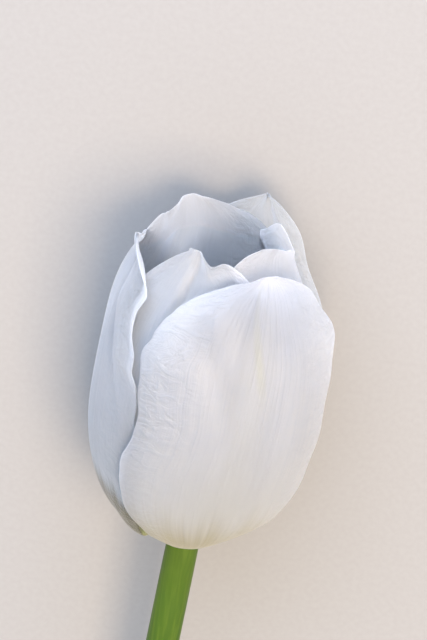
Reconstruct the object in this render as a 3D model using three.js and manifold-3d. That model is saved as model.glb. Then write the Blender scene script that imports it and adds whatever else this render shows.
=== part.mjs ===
// A cut white tulip lying on its side, in millimetres, +Z up.
// The stem runs along -Y and the cup opens towards +Y. The side of the cup that faces up is its front.
import * as THREE from 'three';
import Module from 'manifold-3d';
import { mergeVertices } from 'three/addons/utils/BufferGeometryUtils.js';

const wasm = await Module();
wasm.setup();

// Driving dimensions
const STEM_LENGTH = 230;
const STEM_TOP_RADIUS = 3.35;
const STEM_FOOT_RADIUS = 4.0;
const STEM_BOW = 8.5;
const CUP_RADIUS = 24.2;
const CUP_WIDEST = 31;
const PETAL_THICKNESS = 0.7;
const LEAF_THICKNESS = 0.8;
const GAP = 0.3;
// How deep the flat spot under the cup is pressed in where it rests
const REST_DEPTH = 0.3;

// The neck that carries the petals, above the stem's shoulder
const NECK_BOTTOM = -1.25;
const NECK_TOP = 2.1;
const NECK_BOTTOM_RADIUS = 2.75;
const NECK_TOP_RADIUS = 3.25;

// The stem falls straight from the cup to its cut foot, and both touch the surface
const TILT = Math.asin((CUP_RADIUS - REST_DEPTH - STEM_FOOT_RADIUS) / (STEM_LENGTH + CUP_WIDEST));
const BASE_HEIGHT = STEM_FOOT_RADIUS + STEM_LENGTH * Math.sin(TILT);

// Facets
const PETAL_COLUMNS = 18;
const PETAL_ROWS = 20;
const LEAF_COLUMNS = 10;
const LEAF_ROWS = 24;
const STEM_SIDES = 16;
const STEM_RINGS = 24;

const FILAMENT_SIDES = 8;
const ANTHER_SIDES = 8;
const COLLAR_SIDES = 24;
const PISTIL_SIDES = 18;

// Looks
const PETAL_WHITE = { color: 0xe9e8ec, roughness: 0.55 };
const INNER_WHITE = { color: 0xdfe2e8, roughness: 0.55 };
const STEM_GREEN = { color: 0x6f9a3c, roughness: 0.5 };
const LEAF_GREEN = { color: 0x6b8a6a, roughness: 0.6 };
const ANTHER_YELLOW = { color: 0xd9c877, roughness: 0.8 };
const PISTIL_GREEN = { color: 0xb9c88a, roughness: 0.6 };

const radians = THREE.MathUtils.degToRad;
const UP = new THREE.Vector3(0, 0, 1);
const smooth = (x) => THREE.MathUtils.smoothstep(x, 0, 1);
const bell = (x, middle, spread) => Math.exp(-(((x - middle) / spread) ** 2));

// Half section of the cup, from the neck to the rim: distance from the axis, height above the stem
const CUP = new THREE.SplineCurve([
  new THREE.Vector2(3.4, 0.8),
  new THREE.Vector2(8.8, -0.2),
  new THREE.Vector2(13.7, 2.0),
  new THREE.Vector2(17.6, 7.0),
  new THREE.Vector2(20.3, 13.8),
  new THREE.Vector2(22.1, 21.8),
  new THREE.Vector2(22.8, 30.6),
  new THREE.Vector2(22.6, 39.4),
  new THREE.Vector2(21.4, 48.1),
  new THREE.Vector2(19.0, 56.6),
  new THREE.Vector2(15.9, 64.8),
  new THREE.Vector2(12.6, 73.0),
]);
const CUP_STEP = 0.004;

// Petals. Angles go round the axis in degrees from the front, and grow towards +X. A pair of values
// is for the side of smaller angles and the side of larger ones.
//   reach: how far up the cup's section the tip is, from 0 to 1
//   azimuth: where the midrib is, at equal steps from the base to the tip
//   spread: how far the petal reaches round the cup on each side
//   blunt, round: how late and how suddenly each side narrows to the tip
//   top: how far each side still reaches round the cup at the top
//   layer: how far outside the cup's section the petal lies; tip: how much further its tip does
//   edges: how far each edge stands outside the rest of the petal
//   lobes: waves of a side, as [side, height, length, degrees]
//   crests: waves of the top, as [angle, half width, share of the section]
//   folds: hollows and ridges, as [across, height, half width, half length, millimetres]
const OUTER = 1.0;
const INNER = -1.15;
const PETALS = [
  {
    name: 'outer_petal_top',
    look: PETAL_WHITE,
    reach: 0.889,
    azimuth: [4, 14, 18, 23.5, 30],
    spread: [59, 66],
    blunt: [7.0, 4.0],
    round: [1.5, 1.6],
    top: [5, 5],
    layer: OUTER,
    tip: 0.2,
    edges: [0.2, 0.2],
    lobes: [[0, 0.62, 0.09, -7], [0, 0.2, 0.13, -18], [1, 0.9, 0.07, -7]],
    crests: [],
    folds: [[-0.12, 0.75, 0.12, 0.16, -0.5], [0.32, 0.6, 0.15, 0.25, 0.4], [1, 0.8, 0.3, 0.06, 0.7]],
  },
  {
    name: 'outer_petal_left',
    look: PETAL_WHITE,
    reach: 0.876,
    azimuth: [-98, -96, -95, -93, -91],
    spread: [60, 60],
    blunt: [6.0, 7.0],
    round: [1.5, 1.7],
    top: [2, 2],
    layer: OUTER,
    tip: 0.6,
    edges: [-0.6, -0.95],
    lobes: [[1, 0.84, 0.09, -8], [1, 0.94, 0.045, 8]],
    crests: [],
    folds: [[1, 0.92, 0.15, 0.08, 0.5], [0, 1.02, 3, 0.09, -2.0]],
  },
  {
    name: 'outer_petal_under',
    look: PETAL_WHITE,
    reach: 0.93,
    azimuth: [150, 152, 153, 154, 156],
    spread: [66, 62],
    blunt: [2.2, 4.5],
    round: [1.6, 1.0],
    top: [1.5, 1.5],
    layer: OUTER,
    tip: 0.2,
    edges: [-0.95, 0.75],
    lobes: [[0, 0.83, 0.1, -24]],
    crests: [],
    folds: [],
  },
  {
    name: 'inner_petal_top',
    look: INNER_WHITE,
    reach: 0.925,
    azimuth: [-34, -32, -30, -25, -21],
    spread: [62, 60],
    blunt: [2.5, 6.0],
    round: [1.6, 2.0],
    top: [8, 5],
    layer: INNER,
    tip: -0.6,
    edges: [0.1, 0.4],
    lobes: [],
    crests: [[-9, 6, -0.026]],
    folds: [[0, 0.9, 0.2, 0.2, -0.6]],
  },
  {
    name: 'inner_petal_right',
    look: INNER_WHITE,
    reach: 0.938,
    azimuth: [84, 82, 80, 72, 64],
    spread: [70, 88],
    blunt: [12.0, 5.0],
    round: [3.6, 4.0],
    top: [30, 82],
    layer: INNER,
    tip: -0.6,
    edges: [-0.9, -0.95],
    lobes: [[1, 0.9, 0.12, 12]],
    crests: [[6, 10, -0.01], [78, 16, -0.02], [108, 14, -0.06], [150, 30, -0.03]],
    folds: [[0.4, 0.98, 0.6, 0.2, -2.2]],
  },
  {
    name: 'inner_petal_under',
    look: INNER_WHITE,
    reach: 0.942,
    azimuth: [208, 209, 210, 211, 213],
    spread: [62, 62],
    blunt: [4.0, 4.0],
    round: [2.8, 2.3],
    top: [17, 17],
    layer: INNER,
    tip: -0.6,
    edges: [0.4, -1.0],
    lobes: [[0, 0.94, 0.05, 7]],
    crests: [[221, 9, 0.008], [174, 6, -0.008], [248, 12, -0.02]],
    folds: [],
  },
];

// Hollows of the whole cup: [angle, place along its section, half width, half length, millimetres]
const DENTS = [[-95, 0.66, 45, 0.18, -1.7], [55, 0.17, 36, 0.1, -2.4]];

// Where each petal's edges start to stand apart, how much narrower its base is, and where it narrows
const EDGE_START = 0.15;
const EDGE_RISE = 0.4;
const EDGE_BASE = 0.1;
const BASE_SHARE = 0.78;
const BASE_END = 0.25;
const SHOULDER = 0.5;
const TIP_START = 0.6;
const TOP_START = 0.7;
const TOP_RISE = 0.2;

// A value from a list that is spaced evenly from 0 to 1
function between(list, x) {
  const place = THREE.MathUtils.clamp(x, 0, 1) * (list.length - 1);
  const i = Math.min(Math.floor(place), list.length - 2);
  return THREE.MathUtils.lerp(list[i], list[i + 1], place - i);
}

// The middle of a petal's thickness. u goes from one edge, -1, to the other, 1, and v from the base
// to the tip. x is to the right, y along the flower's axis and z to its front.
function petalPoint(petal, u, v) {
  const side = u < 0 ? 0 : 1;
  let spread = petal.spread[side];
  for (const [lobeSide, height, length, degrees] of petal.lobes) {
    if (lobeSide === side) spread += degrees * bell(v, height, length);
  }
  spread *= BASE_SHARE + (1 - BASE_SHARE) * smooth(v / BASE_END);
  const past = Math.max(0, (v - SHOULDER) / (1 - SHOULDER));
  spread *= Math.max(0, 1 - past ** petal.blunt[side]) ** (1 / petal.round[side]);
  spread = Math.max(spread, petal.top[side] * smooth((v - TOP_START) / TOP_RISE));
  const degrees = between(petal.azimuth, v) + u * spread;

  let reach = petal.reach;
  for (const [angle, halfWidth, rise] of petal.crests) {
    reach += rise * v ** 3 * bell(degrees, angle, halfWidth);
  }
  const t = v * reach;
  const point = CUP.getPoint(t);
  const along = CUP.getPoint(Math.min(t + CUP_STEP, 1)).sub(CUP.getPoint(Math.max(t - CUP_STEP, 0)));
  along.normalize();

  let out = petal.layer + petal.tip * smooth((v - TIP_START) / (1 - TIP_START));
  out += petal.edges[side] * smooth((Math.abs(u) - EDGE_START) / EDGE_RISE) * smooth(v / EDGE_BASE);
  for (const [across, height, halfWidth, halfLength, depth] of petal.folds) {
    out += depth * bell(u, across, halfWidth) * bell(v, height, halfLength);
  }
  for (const [angle, place, halfWidth, halfLength, depth] of DENTS) {
    const turn = THREE.MathUtils.euclideanModulo(degrees - angle + 180, 360) - 180;
    out += depth * bell(turn, 0, halfWidth) * bell(t, place, halfLength);
  }
  const radius = point.x + along.y * out;
  const height = point.y - along.x * out;

  // The cup is pressed flat where it rests
  const rest = (PETAL_THICKNESS / 2 - BASE_HEIGHT - height * Math.sin(TILT)) / Math.cos(TILT);
  const front = Math.max(radius * Math.cos(radians(degrees)), rest);
  return new THREE.Vector3(radius * Math.sin(radians(degrees)), height, front);
}

// Steps from the base to the tip that get shorter towards the tip
const CROWDING = 0.55;
const towardsTip = (x) => (1 - CROWDING) * x + CROWDING * Math.sin((Math.PI / 2) * x);

// A thin closed blade about a surface point(u, v). Both faces are split along the same diagonals.
function bladeGeometry(point, columns, rows, thickness) {
  const step = 1e-3;
  const positions = [];
  const middles = [];
  const normals = [];
  for (let j = 0; j <= rows; j += 1) {
    const v = towardsTip(j / rows);
    for (let i = 0; i <= columns; i += 1) {
      const u = (2 * i) / columns - 1;
      const across = point(Math.min(u + step, 1), v).sub(point(Math.max(u - step, -1), v));
      const along = point(u, Math.min(v + step, 1)).sub(point(u, Math.max(v - step, 0)));
      middles.push(point(u, v));
      normals.push(across.cross(along).normalize());
    }
  }
  for (const half of [thickness / 2, -thickness / 2]) {
    middles.forEach((middle, k) => positions.push(...middle.clone().addScaledVector(normals[k], half)));
  }

  const index = [];
  const count = middles.length;
  const at = (i, j) => j * (columns + 1) + i;
  for (let j = 0; j < rows; j += 1) {
    for (let i = 0; i < columns; i += 1) {
      const [a, b, c, d] = [at(i, j), at(i + 1, j), at(i + 1, j + 1), at(i, j + 1)];
      index.push(a, b, c, a, c, d);
      index.push(count + a, count + c, count + b, count + a, count + d, count + c);
    }
  }
  const border = [];
  for (let i = 0; i < columns; i += 1) border.push(at(i, 0));
  for (let j = 0; j < rows; j += 1) border.push(at(columns, j));
  for (let i = columns; i > 0; i -= 1) border.push(at(i, rows));
  for (let j = rows; j > 0; j -= 1) border.push(at(0, j));
  border.forEach((a, k) => {
    const b = border[(k + 1) % border.length];
    index.push(a, count + a, count + b, a, count + b, b);
  });

  const geometry = new THREE.BufferGeometry();
  geometry.setAttribute('position', new THREE.Float32BufferAttribute(positions, 3));
  geometry.setIndex(index);
  geometry.computeVertexNormals();
  return geometry;
}

function mesh(name, geometry, look) {
  const piece = new THREE.Mesh(geometry, new THREE.MeshStandardMaterial({ ...look, metalness: 0 }));
  piece.name = name;
  return piece;
}

// A point of the stem's centre line, by its distance below the cup. The stem bows to -X.
function stemPoint(distance) {
  const share = Math.max(distance, 0) / STEM_LENGTH;
  const sideways = -STEM_BOW * Math.sin((Math.PI / 2) * share);
  return new THREE.Vector3(
    sideways,
    -distance * Math.cos(TILT),
    BASE_HEIGHT - distance * Math.sin(TILT),
  );
}

// Bends a solid that stands along +Y, with its foot at 0, so that its axis follows the stem
function bendAlongStem(geometry) {
  const step = 0.5;
  const positions = geometry.attributes.position;
  for (let k = 0; k < positions.count; k += 1) {
    const distance = STEM_LENGTH - positions.getY(k);
    const forward = stemPoint(distance - step).sub(stemPoint(distance + step)).normalize();
    const right = forward.clone().cross(UP).normalize();
    const up = right.clone().cross(forward);
    const place = stemPoint(distance);
    place.addScaledVector(right, positions.getX(k));
    place.addScaledVector(up, positions.getZ(k));
    positions.setXYZ(k, place.x, place.y, place.z);
  }
  return geometry;
}

// The stem: a slightly tapering rod, its shoulder, and the neck that the petals grow from
function stemGeometry() {
  const shoulder = STEM_LENGTH + NECK_BOTTOM;
  const profile = [new THREE.Vector2(0, 0)];
  for (let k = 0; k <= STEM_RINGS; k += 1) {
    const share = k / STEM_RINGS;
    const radius = THREE.MathUtils.lerp(STEM_FOOT_RADIUS, STEM_TOP_RADIUS, share);
    profile.push(new THREE.Vector2(radius, share * shoulder));
  }
  profile.push(new THREE.Vector2(NECK_BOTTOM_RADIUS, shoulder + GAP));
  profile.push(new THREE.Vector2(NECK_TOP_RADIUS, STEM_LENGTH + NECK_TOP));
  profile.push(new THREE.Vector2(0, STEM_LENGTH + NECK_TOP));
  return bendAlongStem(new THREE.LatheGeometry(profile, STEM_SIDES));
}

// Leaves. A leaf clasps the stem at its base, opens out and comes down to the surface.
//   distance: how far below the cup its base is; towards: the side it leaves the stem on
//   route: its midrib's points, as [from the stem sideways, towards the cup, height above the surface]
//   halfWidth: at the widest; curl: the radius of its hollow once it has opened
const LEAVES = [
  {
    name: 'leaf_lower',
    towards: -1,
    distance: 185,
    route: [[-6.4, 24, 8.4], [-15.5, 54, 8.2], [-29, 84, 3.8], [-40, 107, 1.0], [-49, 126, 0.4]],
    halfWidth: 19,
    curl: 46,
    lean: 0.3,
    waves: 2.6,
    waveHeight: 1.3,
  },
  {
    name: 'leaf_upper',
    towards: 1,
    distance: 136,
    route: [[6.2, 19, 12.4], [15.5, 43, 11.6], [27.5, 64, 6.6], [36.5, 79, 2.0], [43, 90, 0.4]],
    halfWidth: 11.5,
    curl: 26,
    lean: 0.35,
    waves: 2.1,
    waveHeight: 0.8,
  },
];
const CLASP_ANGLE = 100;
const LEAF_WIDEST = 0.42;
const LEAF_OPEN = 0.5;
const LEAF_TIP = 0.5;
const LEAF_TURN = 0.08;
const LEAF_POINT = 0.9;
const WAVE_SKEW = 1.5;

function leafSurface(leaf) {
  const share = 1 - leaf.distance / STEM_LENGTH;
  const stemRadius = THREE.MathUtils.lerp(STEM_FOOT_RADIUS, STEM_TOP_RADIUS, share);
  const flat = Math.cos(radians(CLASP_ANGLE) / LEAF_COLUMNS);
  const clasp = (stemRadius + GAP) / flat + LEAF_THICKNESS / 2;
  const root = stemPoint(leaf.distance);
  const start = root.clone().add(new THREE.Vector3(leaf.towards * clasp, 0, 0));
  const points = leaf.route.map(([aside, ahead, height]) =>
    new THREE.Vector3(root.x + aside, root.y + ahead, height));
  const midrib = new THREE.CatmullRomCurve3([start, ...points], false, 'catmullrom');
  const inwards = new THREE.Vector3(-leaf.towards, 0, 0);
  const upwards = new THREE.Vector3(-leaf.towards * leaf.lean, 0, 1).normalize();

  return (u, v) => {
    const centre = midrib.getPoint(v);
    const forward = midrib.getTangent(v);
    const face = inwards.clone().lerp(upwards, smooth((v - LEAF_TURN) / LEAF_OPEN));
    face.addScaledVector(forward, -face.dot(forward)).normalize();
    const sideways = forward.clone().cross(face);
    const radius = THREE.MathUtils.lerp(clasp, leaf.curl, smooth(v / LEAF_OPEN));
    const opened = smooth(v / LEAF_WIDEST);
    let halfWidth = THREE.MathUtils.lerp(radians(CLASP_ANGLE) * clasp, leaf.halfWidth, opened);
    const past = Math.max(0, (v - LEAF_WIDEST) / (1 - LEAF_WIDEST));
    halfWidth = Math.max(halfWidth * (1 - past ** 2) ** LEAF_POINT, LEAF_TIP);
    const angle = (u * halfWidth) / radius;
    const wave = Math.sin(2 * Math.PI * leaf.waves * v + WAVE_SKEW * u);
    const waviness = leaf.waveHeight * u * u * smooth(v / LEAF_OPEN) * (1 - past);
    const lift = radius * (1 - Math.cos(angle)) + waviness * wave;
    centre.addScaledVector(sideways, radius * Math.sin(angle)).addScaledVector(face, lift);
    centre.z = Math.max(centre.z, LEAF_THICKNESS / 2);
    return centre;
  };
}

// Solids for joining, and the geometry of what they make
function solid(geometry, matrix) {
  const bare = geometry.clone().applyMatrix4(matrix);
  bare.deleteAttribute('normal');
  bare.deleteAttribute('uv');
  const merged = mergeVertices(bare, 1e-4);
  return new wasm.Manifold(new wasm.Mesh({
    numProp: 3,
    vertProperties: merged.attributes.position.array,
    triVerts: Uint32Array.from(merged.index.array),
  }));
}
function joined(solids) {
  const whole = solids.reduce((sum, next) => sum.add(next));
  const { vertProperties, triVerts } = whole.getMesh();
  const geometry = new THREE.BufferGeometry();
  geometry.setAttribute('position', new THREE.BufferAttribute(vertProperties, 3));
  geometry.setIndex(new THREE.BufferAttribute(triVerts, 1));
  geometry.computeVertexNormals();
  return geometry;
}

// Six stamens: slim filaments that lean out from a low collar round the ovary, each with its anther
const COLLAR_BOTTOM = NECK_TOP + GAP;
const COLLAR_HEIGHT = 1.0;
const COLLAR_INNER = 2.2;
const COLLAR_OUTER = 3.3;
const FILAMENT_LENGTH = 11;
const FILAMENT_TOP_RADIUS = 0.4;
const FILAMENT_FOOT_RADIUS = 0.52;
const FILAMENT_LEAN = 18;
const ANTHER_LENGTH = 8;
const ANTHER_RADIUS = 1.05;
const ANTHER_SEAT = 1.5;
const STAMENS = 6;

function stamensGeometry() {
  const collar = new THREE.LatheGeometry([
    new THREE.Vector2(COLLAR_INNER, 0),
    new THREE.Vector2(COLLAR_OUTER, 0),
    new THREE.Vector2(COLLAR_OUTER, COLLAR_HEIGHT),
    new THREE.Vector2(COLLAR_INNER, COLLAR_HEIGHT),
    new THREE.Vector2(COLLAR_INNER, 0),
  ], COLLAR_SIDES);
  const filament = new THREE.CylinderGeometry(
    FILAMENT_TOP_RADIUS,
    FILAMENT_FOOT_RADIUS,
    FILAMENT_LENGTH,
    FILAMENT_SIDES,
  );
  filament.translate(0, FILAMENT_LENGTH / 2, 0);
  const anther = new THREE.SphereGeometry(1, ANTHER_SIDES, ANTHER_SIDES);
  anther.scale(ANTHER_RADIUS, ANTHER_LENGTH / 2, ANTHER_RADIUS);
  anther.translate(0, FILAMENT_LENGTH + ANTHER_LENGTH / 2 - ANTHER_SEAT, 0);

  const solids = [solid(collar, new THREE.Matrix4().makeTranslation(0, COLLAR_BOTTOM, 0))];
  for (let k = 0; k < STAMENS; k += 1) {
    const place = new THREE.Matrix4().makeRotationY(radians((360 / STAMENS) * (k + 0.5)));
    const middle = (COLLAR_INNER + COLLAR_OUTER) / 2;
    place.multiply(new THREE.Matrix4().makeTranslation(0, COLLAR_BOTTOM + COLLAR_HEIGHT / 4, middle));
    place.multiply(new THREE.Matrix4().makeRotationX(radians(FILAMENT_LEAN)));
    solids.push(solid(filament, place), solid(anther, place));
  }
  return joined(solids);
}

// The pistil: a three-sided ovary with a stigma of three lobes
const OVARY = [
  [0, 0],
  [1.85, 0],
  [1.85, 1.5],
  [2.5, 4],
  [2.9, 8],
  [2.75, 12.5],
  [2.2, 16.5],
  [1.8, 18.5],
  [0, 19],
];
const OVARY_CORNERS = 0.1;
const CORNERS_START = 1.5;
const CORNERS_RISE = 4;
const STIGMA_LOBES = 3;
const STIGMA_HEIGHT = 18.9;
const STIGMA_OFFSET = 1.5;
const STIGMA_SIZE = [1.2, 1.3, 2.3];

function pistilGeometry() {
  const profile = OVARY.map(([radius, height]) => new THREE.Vector2(radius, height));
  const ovary = new THREE.LatheGeometry(profile, PISTIL_SIDES);
  const positions = ovary.attributes.position;
  for (let k = 0; k < positions.count; k += 1) {
    const [x, y, z] = [positions.getX(k), positions.getY(k), positions.getZ(k)];
    const rise = smooth((y - CORNERS_START) / CORNERS_RISE);
    const corners = 1 + OVARY_CORNERS * Math.cos(3 * Math.atan2(x, z)) * rise;
    positions.setXYZ(k, x * corners, y, z * corners);
  }
  const lobe = new THREE.SphereGeometry(1, 10, 8);
  lobe.scale(...STIGMA_SIZE);
  const base = new THREE.Matrix4().makeTranslation(0, NECK_TOP + GAP, 0);
  const solids = [solid(ovary, base)];
  for (let k = 0; k < STIGMA_LOBES; k += 1) {
    const place = base.clone().multiply(new THREE.Matrix4().makeRotationY(radians((360 / STIGMA_LOBES) * k)));
    place.multiply(new THREE.Matrix4().makeTranslation(0, STIGMA_HEIGHT, STIGMA_OFFSET));
    solids.push(solid(lobe, place));
  }
  return joined(solids);
}

// The cup, in its own frame: y along the axis from the stem's top, z to the front
const bloom = new THREE.Group();
bloom.position.set(0, 0, BASE_HEIGHT);
bloom.rotation.x = TILT;
for (const petal of PETALS) {
  const surface = (u, v) => petalPoint(petal, u, v);
  const geometry = bladeGeometry(surface, PETAL_COLUMNS, PETAL_ROWS, PETAL_THICKNESS);
  bloom.add(mesh(petal.name, geometry, petal.look));
}
bloom.add(mesh('stamens', stamensGeometry(), ANTHER_YELLOW));
bloom.add(mesh('pistil', pistilGeometry(), PISTIL_GREEN));

const flower = new THREE.Group();
flower.add(bloom);
flower.add(mesh('stem', stemGeometry(), STEM_GREEN));
for (const leaf of LEAVES) {
  const geometry = bladeGeometry(leafSurface(leaf), LEAF_COLUMNS, LEAF_ROWS, LEAF_THICKNESS);
  flower.add(mesh(leaf.name, geometry, LEAF_GREEN));
}

// The origin is under the middle of the whole flower, on the surface it lies on
const bounds = new THREE.Box3().setFromObject(flower, true);
const middle = bounds.getCenter(new THREE.Vector3());
flower.position.set(-middle.x, -middle.y, -bounds.min.z);

export default flower;
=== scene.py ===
"""A cut white tulip lying on its side: petals, stem, leaves, stamens, pistil and a plain stage."""
import math
from functools import partial

import bmesh
import bpy
from bpy.props import FloatProperty, FloatVectorProperty, PointerProperty
from bpy.types import Operator, Panel, PropertyGroup
from mathutils import Matrix, Vector


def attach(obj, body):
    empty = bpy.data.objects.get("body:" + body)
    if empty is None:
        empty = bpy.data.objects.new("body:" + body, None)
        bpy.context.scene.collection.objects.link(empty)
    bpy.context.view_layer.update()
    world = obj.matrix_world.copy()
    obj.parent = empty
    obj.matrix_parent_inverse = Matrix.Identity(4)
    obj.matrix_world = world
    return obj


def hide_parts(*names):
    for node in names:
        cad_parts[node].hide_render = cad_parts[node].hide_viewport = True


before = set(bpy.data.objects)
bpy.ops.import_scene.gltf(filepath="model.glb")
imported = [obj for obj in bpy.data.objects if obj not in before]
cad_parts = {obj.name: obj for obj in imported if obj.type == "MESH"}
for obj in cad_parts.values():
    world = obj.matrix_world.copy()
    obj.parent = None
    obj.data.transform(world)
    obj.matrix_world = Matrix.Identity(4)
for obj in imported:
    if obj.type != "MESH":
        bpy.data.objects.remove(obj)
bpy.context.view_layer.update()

bl_info = {
    "name": "White tulip",
    "version": (1, 0, 0),
    "blender": (4, 5, 0),
    "location": "View3D > Sidebar > Tulip",
    "description": "Dresses the packed tulip with petals, leaves, stem and a plain stage",
    "category": "Add Mesh",
}

MM = 0.001

# The flower's own frame, in millimetres: x to the right, y along the axis from the stem's top and
# z to the front of the cup, which faces up
BASE = Vector((10.950, 80.436, 21.536))
STEM_LENGTH = 230.0
STEM_TOP_RADIUS = 3.35
STEM_FOOT_RADIUS = 4.0
STEM_BOW = 8.5
NECK_TOP = 2.1
CUP_RADIUS = 24.2
CUP_WIDEST = 31.0
REST_DEPTH = 0.3
TILT = math.asin((CUP_RADIUS - REST_DEPTH - STEM_FOOT_RADIUS) / (STEM_LENGTH + CUP_WIDEST))
GAP = 0.3

# The stem's mesh, the rounding of its cut edge and the length over which its direction is measured
STEM_SIDES = 40
STEM_RINGS = 90
STEM_EDGE = 0.25
STEM_EDGE_SEGMENTS = 3
STEM_STEP = 0.5
# Its skin swells in ridges, as (how many, share of the radius, turn in radians for each mm), and in
# plain waves, as (share of the radius, radians for each mm), and stays even near its two ends
SKIN_RIDGES = (3, 0.012, 0.05)
SKIN_WAVES = (0.008, 0.11)
EVEN_TOP = 3.0
EVEN_FOOT = 20.0

# Half section of the cup, from the neck to the rim: distance from the axis, height above the stem
CUP = (
    (3.4, 0.8), (8.8, -0.2), (13.7, 2.0), (17.6, 7.0), (20.3, 13.8), (22.1, 21.8),
    (22.8, 30.6), (22.6, 39.4), (21.4, 48.1), (19.0, 56.6), (15.9, 64.8), (12.6, 73.0),
)
CUP_STEP = 0.004
CUP_LENGTH = 80.0
# Hollows of the whole cup, as (angle, share of the section, half width in degrees, half length, mm)
DENTS = ((-95, 0.66, 45, 0.18, -1.7), (55, 0.17, 36, 0.1, -2.4))

# How every petal widens from its base, narrows from its shoulder and stands out from the section
BASE_SHARE = 0.78
BASE_END = 0.25
SHOULDER = 0.5
TOP_START = 0.7
TOP_RISE = 0.2
TIP_START = 0.6
EDGE_START = 0.15
EDGE_RISE = 0.4
EDGE_BASE = 0.1
LIP_RISE = 0.25
# The margin wavers in coarse and fine waves, as (times the ripple's waves, times its phase, share)
MARGIN_WAVES = ((1.7, 1, 1.0), (4.1, 2, 0.6))
MARGIN_DEPTH = 0.05
MARGIN_START = 0.3
MARGIN_RISE = 0.2
RIPPLE_END = 0.3
# Shares of a crease's length over which it starts and ends
CREASE_START = 0.2
CREASE_END = 0.25
# Distances to the rim count as at least this many mm
SMALLEST = 0.01

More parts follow.
